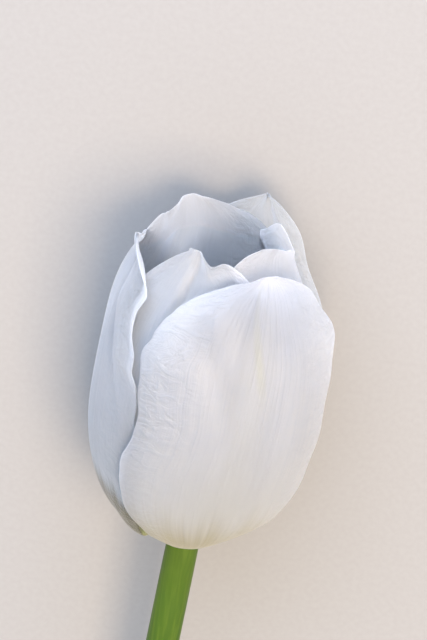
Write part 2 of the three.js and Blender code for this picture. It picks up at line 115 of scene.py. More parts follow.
# Petals, with angles round the axis in degrees from the front, larger towards the right. A pair of
# values is for the side of smaller angles and the side of larger ones.
#   tone is its colour: white, or a copy with painted shade, darker (grey, dusky) or cooler (inner)
#   reach is how far up the section it goes, as a share of it
#   azimuth is where its middle stands, from base to tip
#   spread is half its width, and blunt and round are how it narrows from the shoulder to the tip
#   top is the width that each side keeps at the top, in degrees
#   layer, tip and edges are how far it stands out, in mm: all of it, its tip and its two sides
#   lobes are waves of a side, as (side, height, length, degrees)
#   crests are waves of the top, as (angle, half width, share of the section)
#   folds are hollows and ridges, as (across, height, half width, half length, mm)
#   creases are narrow ones along a line, as (points of (across, height), half width in mm, mm)
#   lip is how the rim curls out, as (width in mm, height where it starts, mm for each side, how
#   crisp its bend is)
#   ripple is the unevenness of the margin, as (mm, waves, phase)
PETALS = {
    "outer_petal_top": dict(
        tone="white", reach=0.889, azimuth=(4, 14, 18, 23.5, 30), spread=(59, 66), blunt=(7.0, 4.0),
        round=(1.5, 1.6), top=(5, 5), layer=1.0, tip=0.2, edges=(0.2, 0.2),
        lobes=((0, 0.62, 0.09, -7), (0, 0.2, 0.13, -18), (0, 0.79, 0.02, 2), (1, 0.9, 0.07, -7)),
        crests=((18, 5, -0.006),),
        folds=(
            (-0.12, 0.75, 0.12, 0.16, -0.5), (0.32, 0.6, 0.15, 0.25, 0.4), (1, 0.8, 0.3, 0.06, 0.7),
            (-1.2, 0.16, 0.7, 0.1, -1.6),
        ),
        creases=(
            (
                ((-0.95, 0.91), (-0.65, 0.865), (-0.46, 0.82), (-0.3, 0.77), (-0.16, 0.7), (-0.1, 0.6)),
                2.6, -0.8,
            ),
            (((-0.24, 0.8), (-0.15, 0.7), (-0.08, 0.58)), 2.6, -0.12),
            (((0.25, 0.86), (0.28, 0.739), (0.34, 0.636), (0.36, 0.5)), 2.6, 0.4),
            (((0.45, 0.93), (0.28, 0.841)), 0.8, -0.16),
            (((-1.05, 0.79), (-0.97, 0.773), (-0.81, 0.75), (-0.66, 0.71)), 0.9, -0.35),
            (((-0.97, 0.7), (-0.75, 0.655)), 0.7, -0.12),
        ),
        lip=(2.0, 0.6, (0.25, 0.2), 0),
        ripple=(0.16, 7.0, 0.4),
    ),
    "outer_petal_left": dict(
        tone="grey", reach=0.876, azimuth=(-98, -96, -95, -93, -91), spread=(60, 60), blunt=(6.0, 7.0),
        round=(1.5, 1.7), top=(2, 2), layer=1.0, tip=0.6, edges=(-0.6, -0.95),
        lobes=((1, 0.84, 0.09, -8), (1, 0.94, 0.045, 8), (1, 0.735, 0.02, -3)),
        crests=(),
        folds=((1, 0.92, 0.15, 0.08, 0.5), (0, 1.02, 3, 0.09, -2.0), (0.85, 0.2, 0.35, 0.09, 0.7)),
        creases=(
            (
                (
                    (0.36, 1.02), (0.34, 0.95), (0.36, 0.86), (0.48, 0.775), (0.6, 0.7), (0.74, 0.63),
                    (0.9, 0.58),
                ),
                1.1, -0.55,
            ),
            (((0.6, 0.99), (0.6, 0.9), (0.68, 0.8), (0.78, 0.7)), 2.0, 0.4),
            (((0.82, 0.99), (0.74, 0.941), (0.78, 0.874)), 1.1, -0.4),
        ),
        lip=(2.8, 0.58, (0.7, 1.8), 0),
        ripple=(0.14, 9.0, 1.3),
    ),
    "outer_petal_under": dict(
        tone="shaded_dusky", reach=0.93, azimuth=(150, 152, 153, 154, 156), spread=(66, 62), blunt=(2.2, 4.5),
        round=(1.6, 1.0), top=(1.5, 1.5), layer=1.0, tip=0.2, edges=(-0.95, 0.75),
        lobes=((0, 0.83, 0.1, -24), (0, 0.89, 0.05, -5)),
        crests=(),
        folds=(),
        creases=((((0.02, 0.99), (0.0, 0.8), (0.0, 0.5)), 1.4, -0.25),),
        lip=(2.2, 0.6, (1.3, 0.4), 0),
        ripple=(0.12, 8.0, 2.1),
    ),
    "inner_petal_top": dict(
        tone="grey", reach=0.925, azimuth=(-34, -32, -30, -25, -21), spread=(62, 60), blunt=(2.5, 6.0),
        round=(1.6, 2.0), top=(8, 5), layer=-1.15, tip=-0.6, edges=(0.1, 0.4),
        lobes=(),
        crests=((-9, 6, -0.028),),
        folds=((0, 0.9, 0.2, 0.2, -0.6),),
        creases=(
            (
                ((0.2, 1.02), (0.16, 1.0), (0.02, 0.927), (-0.05, 0.855), (-0.13, 0.78), (-0.2, 0.65)),
                1.8, -0.5,
            ),
            (((-0.1, 0.97), (-0.14, 0.93), (-0.2, 0.86), (-0.28, 0.75)), 3.0, 0.25),
        ),
        lip=(2.5, 0.7, (0.3, 0.5), 0),
        ripple=(0.12, 6.0, 0.9),
    ),
    "inner_petal_right": dict(
        tone="inner", reach=0.938, azimuth=(84, 82, 80, 72, 64), spread=(70, 90), blunt=(12.0, 5.0),
        round=(3.6, 4.0), top=(30, 92), layer=-1.15, tip=-0.6, edges=(-0.9, 0.4),
        lobes=((1, 0.9, 0.12, 12),),
        crests=(
            (6, 10, -0.01), (70, 18, -0.018), (88, 10, -0.022), (108, 14, -0.055), (150, 24, -0.035),
            (158, 12, -0.04),
        ),
        folds=((0.4, 0.98, 0.6, 0.2, -2.2),),
        creases=((((0.3, 0.98), (0.2, 0.8), (0.1, 0.6)), 1.6, -0.3),),
        lip=(2.0, 0.7, (0.3, 0.4), 0),
        ripple=(0.12, 6.5, 0.2),
    ),
    "inner_petal_under": dict(
        tone="inner", reach=0.911, azimuth=(208, 209, 210, 211, 213), spread=(66, 62), blunt=(7.0, 4.0),
        round=(2.8, 2.3), top=(17, 17), layer=-1.15, tip=-0.6, edges=(-0.95, -1.0),
        lobes=((0, 0.94, 0.05, 7),),
        crests=((206, 12, 0.01), (228, 6, -0.022), (174, 3, -0.006), (248, 12, -0.02)),
        folds=((-1, 0.86, 0.3, 0.06, -1.2),),
        creases=((((0.0, 0.96), (0.0, 0.8), (0.0, 0.6)), 1.5, -0.3),),
        lip=(4.8, 0.72, (2.5, 2.8), 1),
        ripple=(0.12, 7.0, 1.7),
    ),
}
# Roughly how many millimetres lie under one step of a petal's own coordinates
ACROSS_MM = 23.0
HEIGHT_MM = 72.0

# Leaves: side of the stem, distance of the base below the cup, half width, radius and lean of the
# open blade, waves of its rims, and midrib points as (sideways from the stem, towards the cup,
# height above the surface)
LEAVES = {
    "leaf_lower": dict(
        towards=-1, distance=185, half_width=19, curl=46, lean=0.3, waves=2.6, wave_height=1.3,
        route=((-6.4, 24, 8.4), (-15.5, 54, 8.2), (-29, 84, 3.8), (-40, 107, 1.0), (-49, 126, 0.4)),
    ),
    "leaf_upper": dict(
        towards=1, distance=136, half_width=11.5, curl=26, lean=0.35, waves=2.1, wave_height=0.8,
        route=((6.2, 19, 12.4), (15.5, 43, 11.6), (27.5, 64, 6.6), (36.5, 79, 2.0), (43, 90, 0.4)),
    ),
}
# A leaf clasps the stem as the solid does, which is thicker and has a few flat facets round it
SOLID_LEAF_THICKNESS = 0.8
SOLID_LEAF_FACETS = 10
CLASP_ANGLE = 100.0
LEAF_THICKNESS = 0.7
LEAF_WIDEST = 0.42
LEAF_OPEN = 0.5
LEAF_TIP = 0.5
LEAF_TURN = 0.08
LEAF_POINT = 0.9
LEAF_STEP = 0.001
WAVE_SKEW = 1.5
GROOVE_DEPTH = 0.35
GROOVE_WIDTH = 1.1
GROOVE_START = 0.2
LEAF_WIDTH_MM = 38.0
LEAF_LENGTH_MM = 126.0

# Grids of the blades, as (columns, rows, how much the rows crowd towards the tip), and how much
# thinner a blade gets from where its rim begins
PETAL_GRID = (52, 72, 0.75)
LEAF_GRID = (36, 110, 0.3)
RIM_START = 0.75
RIM_THINNING = 0.55
THINNEST = 0.3

# Stamens and pistil, measured along the axis from the neck
HEART = NECK_TOP + GAP
RING_SIDES = 48
STAMENS = 6
COLLAR_HEIGHT = 1.0
COLLAR_INNER = 2.2
COLLAR_OUTER = 3.3
COLLAR_SHOULDER = 0.8
COLLAR_BEVEL = 0.25
FILAMENT_SIDES = 16
FILAMENT_LENGTH = 11.0
FILAMENT_FOOT_RADIUS = 0.52
FILAMENT_TOP_RADIUS = 0.36
FILAMENT_LEAN = 18.0
LEAN_CHANGE = 1.5
LEAN_TURN = 2.4
ANTHER_MESH = (28, 24)
ANTHER_LENGTH = 8.0
ANTHER_RADIUS = 1.05
ANTHER_SEAT = 1.5
ANTHER_TAPER = 0.1
SAC_GROOVE = 0.3
SAC_GROOVE_WIDTH = 0.35
OVARY = (
    (1.85, 0.0), (1.85, 1.5), (2.5, 4.0), (2.9, 8.0), (2.75, 12.5), (2.2, 16.5), (1.8, 18.5), (0.6, 19.0),
)
OVARY_RINGS = 30
OVARY_SIDES = 3
OVARY_CORNERS = 0.1
CORNER_START = 1.5
CORNER_RISE = 4.0
STIGMA_LOBES = 3
STIGMA_HEIGHT = 18.9
STIGMA_OUT = 1.5
LOBE_MESH = (32, 20)
LOBE_HALF_SIZE = (1.2, 2.3, 1.3)
LOBE_FOLD = 0.35
LOBE_FOLD_WIDTH = 0.3
LOBE_FRILL = 0.06
LOBE_FRILLS = 9

# The camera looks at the front of the cup from a little above its rim, and leans to one side
CAMERA_ABOVE = 25.0
CAMERA_ROLL = 8.0
CAMERA_DISTANCE = 600.0
CAMERA_SENSOR = 36.0
CAMERA_NEAR = 0.01
PIXEL = 0.205
IMAGE = (427, 640)
STEM_TOP_PIXEL = (187.5, 520.0)
# Both lights aim at a height in the cup, and their sizes and distances are in metres. The key light
# stands to the right of the front, nearly square to the axis, and the cup light beyond the opening.
LIGHTS_AIM = 35.0
KEY_TURN = 17.0
KEY_RISE = 5.0
KEY_SIZE = 0.5
KEY_DISTANCE = 0.95
CUP_LIGHT_FROM = (-0.25, 1.0, 0.3)
CUP_LIGHT_SIZE = 0.9
CUP_LIGHT_DISTANCE = 0.7
FLOOR_HALF_SIDE = 1.5


def clamp(x):
    return min(max(x, 0.0), 1.0)


def smooth(x):
    x = clamp(x)
    return x * x * (3.0 - 2.0 * x)


def bell(x, middle, half_width):
    return math.exp(-((x - middle) / half_width) ** 2)


def between(values, x):
    """The value at a share x of the way through values that are evenly spaced."""
    place = clamp(x) * (len(values) - 1)
    i = min(int(place), len(values) - 2)
    return values[i] + (values[i + 1] - values[i]) * (place - i)


def linear(colour):
    """Turns an sRGB hex colour to linear red, green and blue."""
    channels = ((colour >> 16 & 255) / 255, (colour >> 8 & 255) / 255, (colour & 255) / 255)
    return tuple(c / 12.92 if c <= 0.04045 else ((c + 0.055) / 1.055) ** 2.4 for c in channels)


def catmull(points, t, beyond):
    """A point of the smooth curve through points, for t from 0 to 1. If beyond is true, its ends
    keep the curve's direction."""
    count = len(points) - 1
    place = clamp(t) * count
    i = min(int(place), count - 1)
    f = place - i
    b, c = Vector(points[i]), Vector(points[i + 1])
    a = Vector(points[i - 1]) if i > 0 else (b * 2 - c if beyond else b)
    d = Vector(points[i + 2]) if i + 2 <= count else (c * 2 - b if beyond else c)
    rise = (c - a) * f + (a * 2 - b * 5 + c * 4 - d) * f ** 2 + (b * 3 - a - c * 3 + d) * f ** 3
    return b + rise * 0.5


def turned(x, y, z):
    """A direction of the flower's own frame, in the part's frame."""
    return Vector((x, math.cos(TILT) * y - math.sin(TILT) * z, math.sin(TILT) * y + math.cos(TILT) * z))


def placed(x, y, z):
    """A point of the flower's own frame, moved to the part's frame in metres."""
    return (BASE + turned(x, y, z)) * MM


def crease_depth(points, half_width, depth, u, v):
    """How far a narrow crease along a line of points moves the surface at u, v."""
    here = Vector((u * ACROSS_MM, v * HEIGHT_MM))
    line = [Vector((across * ACROSS_MM, height * HEIGHT_MM)) for across, height in points]
    nearest = math.inf
    for k in range(len(line) - 1):
        step = line[k + 1] - line[k]
        f = clamp((here - line[k]).dot(step) / step.length_squared)
        distance = (here - line[k] - step * f).length
        if distance < nearest:
            nearest = distance
            share = (k + f) / (len(line) - 1)
    fade = smooth(share / CREASE_START) * smooth((1 - share) / CREASE_END)
    return depth * fade * bell(nearest, 0.0, half_width)


def petal_spread(petal, side, v):
    """Half a petal's width on one side at height v, in degrees round the axis."""
    spread = petal["spread"][side]
    for lobe_side, height, length, degrees in petal["lobes"]:
        if lobe_side == side:
            spread += degrees * bell(v, height, length)
    spread *= BASE_SHARE + (1 - BASE_SHARE) * smooth(v / BASE_END)
    past = max(0.0, (v - SHOULDER) / (1 - SHOULDER))
    spread *= max(0.0, 1 - past ** petal["blunt"][side]) ** (1 / petal["round"][side])
    size, waves, phase = petal["ripple"]
    uneven = sum(
        share * math.sin(2 * math.pi * times * waves * v + turns * phase)
        for times, turns, share in MARGIN_WAVES
    )
    spread *= 1 + MARGIN_DEPTH * size * uneven * smooth((v - MARGIN_START) / MARGIN_RISE)
    return max(spread, petal["top"][side] * smooth((v - TOP_START) / TOP_RISE))


def rim_curl(petal, u, v, rim):
    """How far a petal's lip and ripple move it out at u, v, which lies rim millimetres from its rim."""
    width, height, curls, crisp = petal["lip"]
    bend = clamp(1 - rim / width)
    bend = crisp * bend + (1 - crisp) * smooth(bend)
    curl = between(curls, smooth(u + 0.5)) * bend * smooth((v - height) / LIP_RISE)
    size, waves, phase = petal["ripple"]
    wave = math.sin(2 * math.pi * waves * v + phase + 2 * u)
    return curl + size * abs(u) ** 4 * wave * smooth(v / RIPPLE_END)


def petal_point(petal, u, v, thickness):
    """The middle of a petal's thickness: u across from -1 to 1, v from the base to the tip."""
    side = 0 if u < 0 else 1
    spread = petal_spread(petal, side, v)
    angle = between(petal["azimuth"], v) + u * spread
    reach = petal["reach"]
    for middle, half_width, rise in petal["crests"]:
        reach += rise * v ** 3 * bell(angle, middle, half_width)
    t = v * reach
    point = catmull(CUP, t, False)
    along = catmull(CUP, min(t + CUP_STEP, 1), False) - catmull(CUP, max(t - CUP_STEP, 0), False)
    along.normalize()

    out = petal["layer"] + petal["tip"] * smooth((v - TIP_START) / (1 - TIP_START))
    out += petal["edges"][side] * smooth((abs(u) - EDGE_START) / EDGE_RISE) * smooth(v / EDGE_BASE)
    for across, height, half_width, half_length, depth in petal["folds"]:
        out += depth * bell(u, across, half_width) * bell(v, height, half_length)
    for middle, place, half_width, half_length, depth in DENTS:
        turn = (angle - middle + 180) % 360 - 180
        out += depth * bell(turn, 0, half_width) * bell(t, place, half_length)
    for points, half_width, depth in petal["creases"]:
        out += crease_depth(points, half_width, depth, u, v)
    to_side = max(math.radians(spread) * point.x * (1 - abs(u)), SMALLEST)
    to_top = max((1 - v) * CUP_LENGTH, SMALLEST)
    out += rim_curl(petal, u, v, 1 / math.hypot(1 / to_side, 1 / to_top))

    radius = point.x + along.y * out
    y = point.y - along.x * out
    x = radius * math.sin(math.radians(angle))
    z = radius * math.cos(math.radians(angle))
    # The cup is pressed flat where it rests
    rest = (thickness / 2 - BASE.z - y * math.sin(TILT)) / math.cos(TILT)
    return placed(x, y, max(z, rest))


def stem_point(distance):
    """A point of the stem's centre line in millimetres, by its distance below the cup."""
    sideways = -STEM_BOW * math.sin(math.pi / 2 * max(distance, 0.0) / STEM_LENGTH)
    return BASE + Vector((sideways, -distance * math.cos(TILT), -distance * math.sin(TILT)))


def leaf_surface(leaf, thickness):
    """Gives the function that finds a leaf's middle surface at u across and v along."""
    share = 1 - leaf["distance"] / STEM_LENGTH
    stem_radius = STEM_FOOT_RADIUS + (STEM_TOP_RADIUS - STEM_FOOT_RADIUS) * share
    clasp = (stem_radius + GAP) / math.cos(math.radians(CLASP_ANGLE) / SOLID_LEAF_FACETS)
    clasp += SOLID_LEAF_THICKNESS / 2
    root = stem_point(leaf["distance"])
    points = [root + Vector((leaf["towards"] * clasp, 0, 0))]
    for aside, ahead, height in leaf["route"]:
        points.append(Vector((root.x + aside, root.y + ahead, height)))
    inwards = Vector((-leaf["towards"], 0, 0))
    upwards = Vector((-leaf["towards"] * leaf["lean"], 0, 1)).normalized()

    def surface(u, v):
        centre = catmull(points, v, True)
        forward = catmull(points, min(v + LEAF_STEP, 1), True) - catmull(points, max(v - LEAF_STEP, 0), True)
        forward.normalize()
        face = inwards.lerp(upwards, smooth((v - LEAF_TURN) / LEAF_OPEN))
        face = (face - forward * face.dot(forward)).normalized()
        sideways = forward.cross(face)
        radius = clasp + (leaf["curl"] - clasp) * smooth(v / LEAF_OPEN)
        narrow = math.radians(CLASP_ANGLE) * clasp
        half_width = narrow + (leaf["half_width"] - narrow) * smooth(v / LEAF_WIDEST)
        past = max(0.0, (v - LEAF_WIDEST) / (1 - LEAF_WIDEST))
        half_width = max(half_width * (1 - past ** 2) ** LEAF_POINT, LEAF_TIP)
        angle = u * half_width / radius
        wave = math.sin(2 * math.pi * leaf["waves"] * v + WAVE_SKEW * u)
        waviness = leaf["wave_height"] * u * u * smooth(v / LEAF_OPEN) * (1 - past)
        lift = radius * (1 - math.cos(angle)) + waviness * wave
        # The midrib is a shallow groove on the inner face
        lift -= GROOVE_DEPTH * bell(u * half_width, 0.0, GROOVE_WIDTH) * smooth(v / GROOVE_START) * (1 - v)
        place = centre + sideways * radius * math.sin(angle) + face * lift
        place.z = max(place.z, thickness / 2)
        return place * MM

    return surface


def mesh_object(name, bm, materials):
    """Makes an object at the origin from a bmesh, smooth, with its materials."""
    for face in bm.faces:
        face.smooth = True
    mesh = bpy.data.meshes.new(name)
    bm.to_mesh(mesh)
    bm.free()
    for material in materials:
        mesh.materials.append(material)
    piece = bpy.data.objects.new(name, mesh)
    bpy.context.scene.collection.objects.link(piece)
    return piece


def stand_for(piece, node):
    """Puts a piece on the flower's only body in place of a solid, and hides the solid."""
    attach(piece, "root")
    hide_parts(node)


def blade(name, surface, grid, thickness, material):
    """A thin closed blade over surface(u, v), thinner at its rim, with a map of u and v."""
    columns, rows, crowding = grid
    bm = bmesh.new()
    bmesh.ops.create_grid(bm, x_segments=columns, y_segments=rows, size=1.0)
    uv_map = bm.loops.layers.uv.new("UVMap")
    weights = bm.verts.layers.deform.new()
    own = {}
    for vert in bm.verts:
        s = (vert.co.y + 1) / 2
        own[vert] = (vert.co.x, (1 - crowding) * s + crowding * math.sin(math.pi / 2 * s))
    for face in bm.faces:
        for loop in face.loops:
            u, v = own[loop.vert]
            loop[uv_map].uv = ((u + 1) / 2, v)
    for vert in bm.verts:
        u, v = own[vert]
        vert[weights][0] = 1 - RIM_THINNING * smooth((max(abs(u), v) - RIM_START) / (1 - RIM_START))
        vert.co = surface(u, v)
    piece = mesh_object(name, bm, [material])
    piece.vertex_groups.new(name="thick")
    solid = piece.modifiers.new("Thickness", "SOLIDIFY")
    solid.thickness = thickness * MM
    solid.offset = 0.0
    solid.use_even_offset = True
    solid.vertex_group = "thick"
    solid.thickness_vertex_group = THINNEST
    rounded = piece.modifiers.new("Rounding", "SUBSURF")
    rounded.levels = 1
    rounded.render_levels = 1
    return piece


def extrude_ring(bm, edges):
    """Extrudes a ring of edges in place, and gives the new ring's edges and points."""
    made = bmesh.ops.extrude_edge_only(bm, edges=edges)["geom"]
    new_edges = [item for item in made if isinstance(item, bmesh.types.BMEdge)]
    return new_edges, [item for item in made if isinstance(item, bmesh.types.BMVert)]


def give_second_material(verts):
    """Gives the faces at these points the piece's second material."""
    for face in {face for vert in verts for face in vert.link_faces}:
        face.material_index = 1


def stand_on_neck(bm):
    """Moves a shape with its foot at the origin and z up onto the neck, along the cup's axis."""
    for vert in bm.verts:
        vert.co = placed(vert.co.x, HEART + vert.co.z, -vert.co.y)
    bmesh.ops.recalc_face_normals(bm, faces=bm.faces[:])


# Settings of a mask that starts and ends softly, and of a mix of two colours
SOFT = {"interpolation_type": "SMOOTHSTEP"}
COLOURS = {"data_type": "RGBA"}


def add_node(tree, kind, inputs=(), **settings):
    """Adds a node with its settings. Its inputs are given in order or by name, each as a value, as
    a socket, or as a node that is linked by its first output in use."""
    node = tree.nodes.new("ShaderNode" + kind)
    for name, value in settings.items():
        setattr(node, name, value)
    in_use = [socket for socket in node.inputs if socket.enabled]
    for key, value in inputs.items() if isinstance(inputs, dict) else enumerate(inputs):
        socket = node.inputs[key] if isinstance(key, str) else in_use[key]
        if isinstance(value, bpy.types.Node):
            value = next(output for output in value.outputs if output.enabled)
        if isinstance(value, bpy.types.NodeSocket):
            tree.links.new(value, socket)
        else:
            socket.default_value = value
    return node


def new_material(name):
    """An empty material and its node tree."""
    material = bpy.data.materials.new(name)
    material.use_nodes = True
    material.node_tree.nodes.clear()
    return material, material.node_tree


def finish_material(tree, colour, bump, shader):
    """Adds the surface shader with its own values, and the output."""
    surface = add_node(tree, "BsdfPrincipled", {"Base Color": colour, "Normal": bump, **shader})
    add_node(tree, "OutputMaterial", {"Surface": surface})


def map_scale(size, spacing):
    """The scale of a pattern on a map of that size for features that lie spacing apart, all in
    millimetres across and along."""
    return (round(size[0] / spacing[0], 1), round(size[1] / spacing[1], 1), 1.0)


def petal_material(settings, name, pale, cool, base, foot, foot_band, vein, tip, painted_light_band):
    """Fresh tulip petal, grown: thin milky tissue with fine ribs from base to tip, so light glows
    through it and its satin skin shows faint long streaks, crinkles at its margins, a warm midrib
    and a yellow or olive foot. The greyer petals' grey lower part and olive foot are darkened as
    painted shade, and the top band is painted light: painted shade on the front and greyer
    petals, a painted highlight at the inner petals' rims."""
    material, tree = new_material(name)
    uv = add_node(tree, "UVMap", uv_map="UVMap")
    place = add_node(tree, "SeparateXYZ", (uv,))
    across, height = place.outputs["X"], place.outputs["Y"]
    # Ribs lie about 0.8 mm apart, soft streaks about 5 mm, and crinkles about 2.4 mm. Each pattern
    # has its spacing across and along, its turn in degrees and its noise.
    patterns = (
        ((0.793, 33.0), 0.0, {"Detail": 4.0, "Roughness": 0.6, "Distortion": 0.3}),
        ((5.1, 55.0), 0.0, {"Detail": 2.0}),
        ((5.1, 2.4), 35.0, {"Detail": 4.0, "Roughness": 0.6, "Distortion": 1.6}),
    )
    noises = []
    for spacing, turn, noise in patterns:
        scale = map_scale((2 * ACROSS_MM, HEIGHT_MM), spacing)
        rotation = (0.0, 0.0, math.radians(turn))
        mapped = add_node(tree, "Mapping", {"Vector": uv, "Rotation": rotation, "Scale": scale})
        noises.append(add_node(tree, "TexNoise", {"Vector": mapped, "Scale": 1.0, **noise}))
    ribs, broad, crinkles = noises
    # Cool patches lie about 14 mm apart
    body = add_node(tree, "TexCoord").outputs["Object"]
    clouds = add_node(tree, "TexNoise", {"Vector": body, "Scale": 1 / (14.3 * MM), "Detail": 3.0})
    tint = add_node(tree, "MapRange", (clouds, 0.35, 0.65))
    colour = add_node(tree, "Mix", (tint, (*pale, 1), (*cool, 1)), **COLOURS)

    # A mask runs between two values of what it follows, from 0 or a third value to its strength
    off = add_node(tree, "Math", (across, 0.5), operation="SUBTRACT")
    off = add_node(tree, "Math", (off,), operation="ABSOLUTE")
    margin = add_node(tree, "MapRange", (off, 0.12, 0.42), **SOFT)
    lines = add_node(tree, "MapRange", (ribs, 0.5, 0.75, 0.0, 0.28))
    streaks = add_node(tree, "MapRange", (broad, 0.45, 0.75, 0.0, 0.4))
    mottle = add_node(tree, "MapRange", (crinkles, 0.45, 0.65, 0.0, 0.3))
    mottle = add_node(tree, "Math", (mottle, margin), operation="MULTIPLY")
    midrib = add_node(tree, "MapRange", (off, 0.13, 0.0, 0.0, 0.5), **SOFT)
    # One yellow vein wanders off the midrib towards the tip
    aside = add_node(tree, "Math", (height, 0.5, across), operation="MULTIPLY_ADD")
    aside = add_node(tree, "Math", (aside, 0.9), operation="SUBTRACT")
    aside = add_node(tree, "Math", (aside,), operation="ABSOLUTE")
    yellow = add_node(tree, "MapRange", (aside, 0.03, 0.004, 0.0, vein), **SOFT)
    high = add_node(tree, "MapRange", (height, 0.66, 0.82), **SOFT)
    yellow = add_node(tree, "Math", (yellow, high), operation="MULTIPLY")
    # The lower part changes most along its middle: cream on the white and inner petals, and a grey
    #     # lower part of painted shade on the greyer ones
    low = add_node(tree, "MapRange", (height, 0.7, 0.4), **SOFT)
    middle = add_node(tree, "MapRange", (off, 0.5, 0.05, 0.55, 1.0))
    low = add_node(tree, "Math", (low, middle), operation="MULTIPLY")
    # The foot's upper edge runs out into streaks along the ribs; the greyer petals' olive foot is
    #     # deepened by painted shade
    ground = add_node(tree, "Math", (broad, 0.16, height), operation="MULTIPLY_ADD")
    ground = add_node(tree, "Math", (ribs, 0.09, ground), operation="MULTIPLY_ADD")
    ground = add_node(tree, "MapRange", (ground, *foot_band), **SOFT)
    # The top band is painted light: painted shade, darker and cooler, near the top of the front and greyer
    # petals, and a painted highlight, a warm lit band, at the top of the inner petals
    top = add_node(tree, "MapRange", (height, *painted_light_band, 0.0, 0.8), **SOFT)
    layers = (
        (lines, settings.streak), (streaks, settings.streak), (mottle, settings.streak),
        (midrib, settings.midrib), (yellow, settings.vein), (low, base), (ground, foot), (top, tip),
    )
    for mask, tone in layers:
        colour = add_node(tree, "Mix", (mask, colour, (*tone, 1)), **COLOURS)

    relief = add_node(tree, "Math", (broad, 2.5, ribs), operation="MULTIPLY_ADD")
    folded = add_node(tree, "Math", (crinkles, margin), operation="MULTIPLY")
    relief = add_node(tree, "Math", (folded, 3.2, relief), operation="MULTIPLY_ADD")
    bump = add_node(tree, "Bump", {"Height": relief, "Strength": 0.7, "Distance": 0.25 * MM})
    finish_material(tree, colour, bump, {
        "Roughness": 0.5, "Subsurface Weight": 1.0, "Subsurface Radius": (1.0, 0.97, 0.93),
        "Subsurface Scale": 7.5 * MM, "Sheen Weight": 0.25, "Sheen Roughness": 0.5,
    })
    return material


def stem_material(settings):
    """Tulip stem, grown: smooth juicy skin with fine long fibres under it, so it is satin, a little
    translucent, yellower towards the cup and crossed by no marks."""
    material, tree = new_material("fresh_stem_skin")
    body = add_node(tree, "TexCoord").outputs["Object"]
    place = add_node(tree, "SeparateXYZ", (body,))
    # Fibres lie about 0.7 mm apart and run some 33 mm along the stem
    across, along = 1 / (0.667 * MM), 1 / (33.3 * MM)
    fibres = add_node(tree, "Mapping", {"Vector": body, "Scale": (across, along, across)})
    fibres = add_node(tree, "TexNoise", {"Vector": fibres, "Scale": 1.0, "Detail": 2.0})
    clouds = add_node(tree, "TexNoise", {"Vector": body, "Scale": 1 / (16.7 * MM), "Detail": 3.0})
    # The last 60 mm under the cup turn yellower
    top = add_node(tree, "MapRange", (place.outputs["Y"], 20 * MM, 80 * MM), **SOFT)
    pale = add_node(tree, "MapRange", (fibres, 0.45, 0.75, 0.0, 0.2))
    bloom = add_node(tree, "MapRange", (clouds, 0.4, 0.7, 0.0, 0.04))
    colour = (*settings.stem, 1)
    for mask, tone in ((top, settings.stem_top), (pale, settings.stem_fibre), (bloom, settings.wax)):
        colour = add_node(tree, "Mix", (mask, colour, (*tone, 1)), **COLOURS)
    bump = add_node(tree, "Bump", {"Height": fibres, "Strength": 0.2, "Distance": 0.1 * MM})
    finish_material(tree, colour, bump, {
        "Roughness": 0.42, "Specular IOR Level": 0.2, "Subsurface Weight": 0.3,
        "Subsurface Radius": (0.6, 1.0, 0.3), "Subsurface Scale": 1.5 * MM,
    })
    return material


def cut_material(settings):
    """Cut stem end, sliced: wet pale pith with darker bundles 0.7 mm apart, so it shows as a light disc."""
    material, tree = new_material("cut_stem_pith")
    body = add_node(tree, "TexCoord").outputs["Object"]
    cells = add_node(tree, "TexVoronoi", {"Vector": body, "Scale": 1 / (0.714 * MM)})
    dots = add_node(tree, "MapRange", (cells, 0.15, 0.4))
    colour = add_node(tree, "Mix", (dots, (*settings.stem, 1), (*settings.pith, 1)), **COLOURS)
    bump = add_node(tree, "Bump", {"Height": cells, "Strength": 0.2, "Distance": 0.1 * MM})
    finish_material(tree, colour, bump, {"Roughness": 0.3})
    return material


def leaf_material(settings):
    """Tulip leaf, grown: thick blade under a grey-blue wax with ribs that run from base to tip, so it
    is matt, bluish where the wax is whole and lighter along its ribs, its rims and its foot."""
    material, tree = new_material("waxy_leaf_blade")
    uv = add_node(tree, "UVMap", uv_map="UVMap")
    place = add_node(tree, "SeparateXYZ", (uv,))
    # Ribs lie about 1 mm apart across the leaf, with finer ones about 0.3 mm apart between them
    noises = []
    for spacing, detail in (((0.95, 63.0), 3.0), ((0.2923, 21.0), 2.0)):
        scale = map_scale((LEAF_WIDTH_MM, LEAF_LENGTH_MM), spacing)
        mapped = add_node(tree, "Mapping", {"Vector": uv, "Scale": scale})
        noises.append(add_node(tree, "TexNoise", {"Vector": mapped, "Scale": 1.0, "Detail": detail}))
    ribs, fine = noises
    # The wax is whole in patches about 18 mm apart
    body = add_node(tree, "TexCoord").outputs["Object"]
    clouds = add_node(tree, "TexNoise", {"Vector": body, "Scale": 1 / (18.2 * MM), "Detail": 4.0})
    wax = add_node(tree, "MapRange", (clouds, 0.35, 0.7, 0.0, 0.75))
    pale = add_node(tree, "MapRange", (ribs, 0.5, 0.75, 0.0, 0.4))
    off = add_node(tree, "Math", (place.outputs["X"], 0.5), operation="SUBTRACT")
    off = add_node(tree, "Math", (off,), operation="ABSOLUTE")
    edge = add_node(tree, "MapRange", (off, 0.485, 0.5, 0.0, 0.5))
    foot = add_node(tree, "MapRange", (place.outputs["Y"], 0.2, 0.0, 0.0, 0.4), **SOFT)
    colour = (*settings.leaf, 1)
    layers = ((wax, settings.wax), (pale, settings.fibre), (edge, settings.fibre), (foot, settings.fibre))
    for mask, tone in layers:
        colour = add_node(tree, "Mix", (mask, colour, (*tone, 1)), **COLOURS)
    relief = add_node(tree, "Math", (fine, 0.5, ribs), operation="MULTIPLY_ADD")
    bump = add_node(tree, "Bump", {"Height": relief, "Strength": 0.45, "Distance": 0.2 * MM})
    finish_material(tree, colour, bump, {
        "Roughness": 0.5, "Subsurface Weight": 0.12, "Subsurface Radius": (0.5, 1.0, 0.3),
        "Subsurface Scale": 1.2 * MM,
    })
    return material


